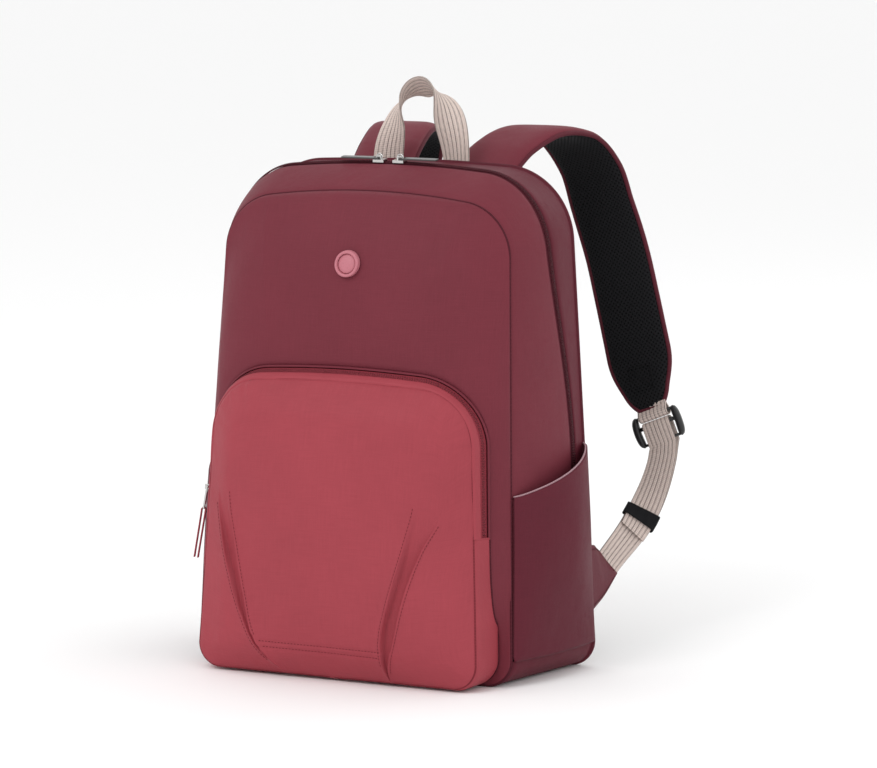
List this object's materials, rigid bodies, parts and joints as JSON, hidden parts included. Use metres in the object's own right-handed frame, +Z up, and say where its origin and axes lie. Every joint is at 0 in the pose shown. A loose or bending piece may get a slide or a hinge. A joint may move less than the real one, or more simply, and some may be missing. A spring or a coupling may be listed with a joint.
{
  "type": "travel backpack",
  "caption": "Upright zipped backpack with a bulged front pocket, side pockets, webbing grab handle and padded adjustable shoulder straps that hang behind it",
  "frame": {"origin": "middle of the flat base, on the floor the bag stands on", "axes": "+Z up, the front pocket faces -Y, +X is towards the viewer's right when looking at the front"},
  "size_m": [0.385, 0.3417, 0.4979],
  "materials": {
    "burgundy_cloth": "coated plain weave polyester, satin",
    "deep_cloth": "coated plain weave polyester, satin",
    "coral_cloth": "coated plain weave polyester, satin",
    "zipper_tape": "woven zipper tape and nylon coil",
    "webbing": "ribbed flat webbing",
    "air_mesh": "black spacer mesh",
    "elastic": "black woven elastic",
    "foam": "soft open-cell foam",
    "lining": "grey lining cloth",
    "board": "stiff plastic sheet",
    "binding": "narrow grosgrain binding",
    "badge": "soft moulded rubber",
    "hardware_metal": "polished nickel",
    "puller_metal": "dark polished nickel",
    "buckle_plastic": "moulded nylon",
    "pull_rubber": "moulded rubber pull loop"
  },
  "bodies": {
    "bag": {"front_panel": "burgundy_cloth", "front_gusset": "burgundy_cloth", "pocket_back_strip": "burgundy_cloth", "rear_gusset": "deep_cloth", "base_panel": "deep_cloth", "back_panel": "deep_cloth", "strap_yoke": "deep_cloth", "side_pocket_right": "deep_cloth", "side_pocket_left": "deep_cloth", "strap_wing_right": "deep_cloth", "strap_wing_left": "deep_cloth", "pocket_face": "coral_cloth", "pocket_gusset": "coral_cloth", "pocket_lower_gusset": "coral_cloth", "main_zipper_tape_front": "zipper_tape", "main_zipper_tape_rear": "zipper_tape", "main_zipper_coil": "zipper_tape", "pocket_zipper_tape": "zipper_tape", "pocket_zipper_coil": "zipper_tape", "adjuster_webbing_right": "webbing", "adjuster_webbing_left": "webbing", "back_pad": "air_mesh", "back_foam": "foam", "laptop_sleeve": "lining", "front_organizer": "lining", "base_board": "board", "side_pocket_binding_right": "binding", "side_pocket_binding_left": "binding", "badge_rim": "badge", "badge_disc": "badge"},
    "handle": {"handle_webbing": "webbing"},
    "pocket_slider": {"pocket_slider": "hardware_metal"},
    "pocket_puller": {"pocket_puller_clip": "hardware_metal", "pocket_puller_loop": "pull_rubber"},
    "strap_right": {"strap_cover_right": "burgundy_cloth", "strap_foam_right": "foam", "strap_mesh_right": "air_mesh", "strap_loop_right": "webbing"},
    "ladder_lock_right": {"ladder_lock_right": "buckle_plastic"},
    "webbing_keeper_right": {"webbing_keeper_right": "elastic"},
    "main_slider_right": {"main_slider_right": "hardware_metal"},
    "main_puller_right": {"main_puller_right": "puller_metal"},
    "strap_left": {"strap_cover_left": "burgundy_cloth", "strap_foam_left": "foam", "strap_mesh_left": "air_mesh", "strap_loop_left": "webbing"},
    "ladder_lock_left": {"ladder_lock_left": "buckle_plastic"},
    "webbing_keeper_left": {"webbing_keeper_left": "elastic"},
    "main_slider_left": {"main_slider_left": "hardware_metal"},
    "main_puller_left": {"main_puller_left": "puller_metal"}
  },
  "joints": [
    {"name": "strap_swing_right", "type": "hinge", "parent": "bag", "child": "strap_right", "pos_m": [0.051, 0.084, 0.408], "axis": [1, 0, 0], "range_deg": [-14, 3], "deforming": ["adjuster_webbing_right"]},
    {"name": "lock_tilt_right", "type": "hinge", "parent": "strap_right", "child": "ladder_lock_right", "pos_m": [0.16308, 0.217, 0.19744], "axis": [0.9272, 0, 0.3746], "range_deg": [-20, 20], "deforming": ["adjuster_webbing_right"]},
    {"name": "keeper_slide_right", "type": "slide", "parent": "bag", "child": "webbing_keeper_right", "axis": [0.1796, 0.6706, 0.7197], "range_m": [-0.003, 0.002]},
    {"name": "main_slider_travel_right", "type": "hinge", "parent": "bag", "child": "main_slider_right", "pos_m": [0, 0.024, -0.5445], "axis": [0, 1, 0], "range_deg": [0, 2.4]},
    {"name": "main_puller_lift_right", "type": "hinge", "parent": "main_slider_right", "child": "main_puller_right", "pos_m": [0.0098, 0.0236, 0.43056], "axis": [-0.0006, -0.9917, -0.1283], "range_deg": [0, 100]},
    {"name": "strap_swing_left", "type": "hinge", "parent": "bag", "child": "strap_left", "pos_m": [-0.043, 0.084, 0.408], "axis": [1, 0, 0], "range_deg": [-14, 3], "deforming": ["adjuster_webbing_left"]},
    {"name": "lock_tilt_left", "type": "hinge", "parent": "strap_left", "child": "ladder_lock_left", "pos_m": [-0.16308, 0.217, 0.19744], "axis": [0.9272, 0, -0.3746], "range_deg": [-20, 20], "deforming": ["adjuster_webbing_left"]},
    {"name": "keeper_slide_left", "type": "slide", "parent": "bag", "child": "webbing_keeper_left", "axis": [-0.1796, 0.6706, 0.7197], "range_m": [-0.003, 0.002]},
    {"name": "main_slider_travel_left", "type": "hinge", "parent": "bag", "child": "main_slider_left", "pos_m": [0, 0.024, -0.5445], "axis": [0, -1, 0], "range_deg": [0, 2.4]},
    {"name": "main_puller_lift_left", "type": "hinge", "parent": "main_slider_left", "child": "main_puller_left", "pos_m": [-0.0098, 0.0236, 0.43056], "axis": [-0.0006, 0.9917, 0.1283], "range_deg": [0, 100]},
    {"name": "handle_fold", "type": "hinge", "parent": "bag", "child": "handle", "pos_m": [0, 0.0815, 0.416], "axis": [1, 0, 0], "range_deg": [-12, 34]},
    {"name": "pocket_slider_travel", "type": "slide", "parent": "bag", "child": "pocket_slider", "axis": [0.043, 0.0579, 0.9974], "range_m": [0, 0.03]},
    {"name": "pocket_puller_lift", "type": "hinge", "parent": "pocket_slider", "child": "pocket_puller", "pos_m": [-0.13189, -0.06022, 0.15233], "axis": [-0.2913, 0.9557, -0.0429], "range_deg": [-4, 94]}
  ]
}
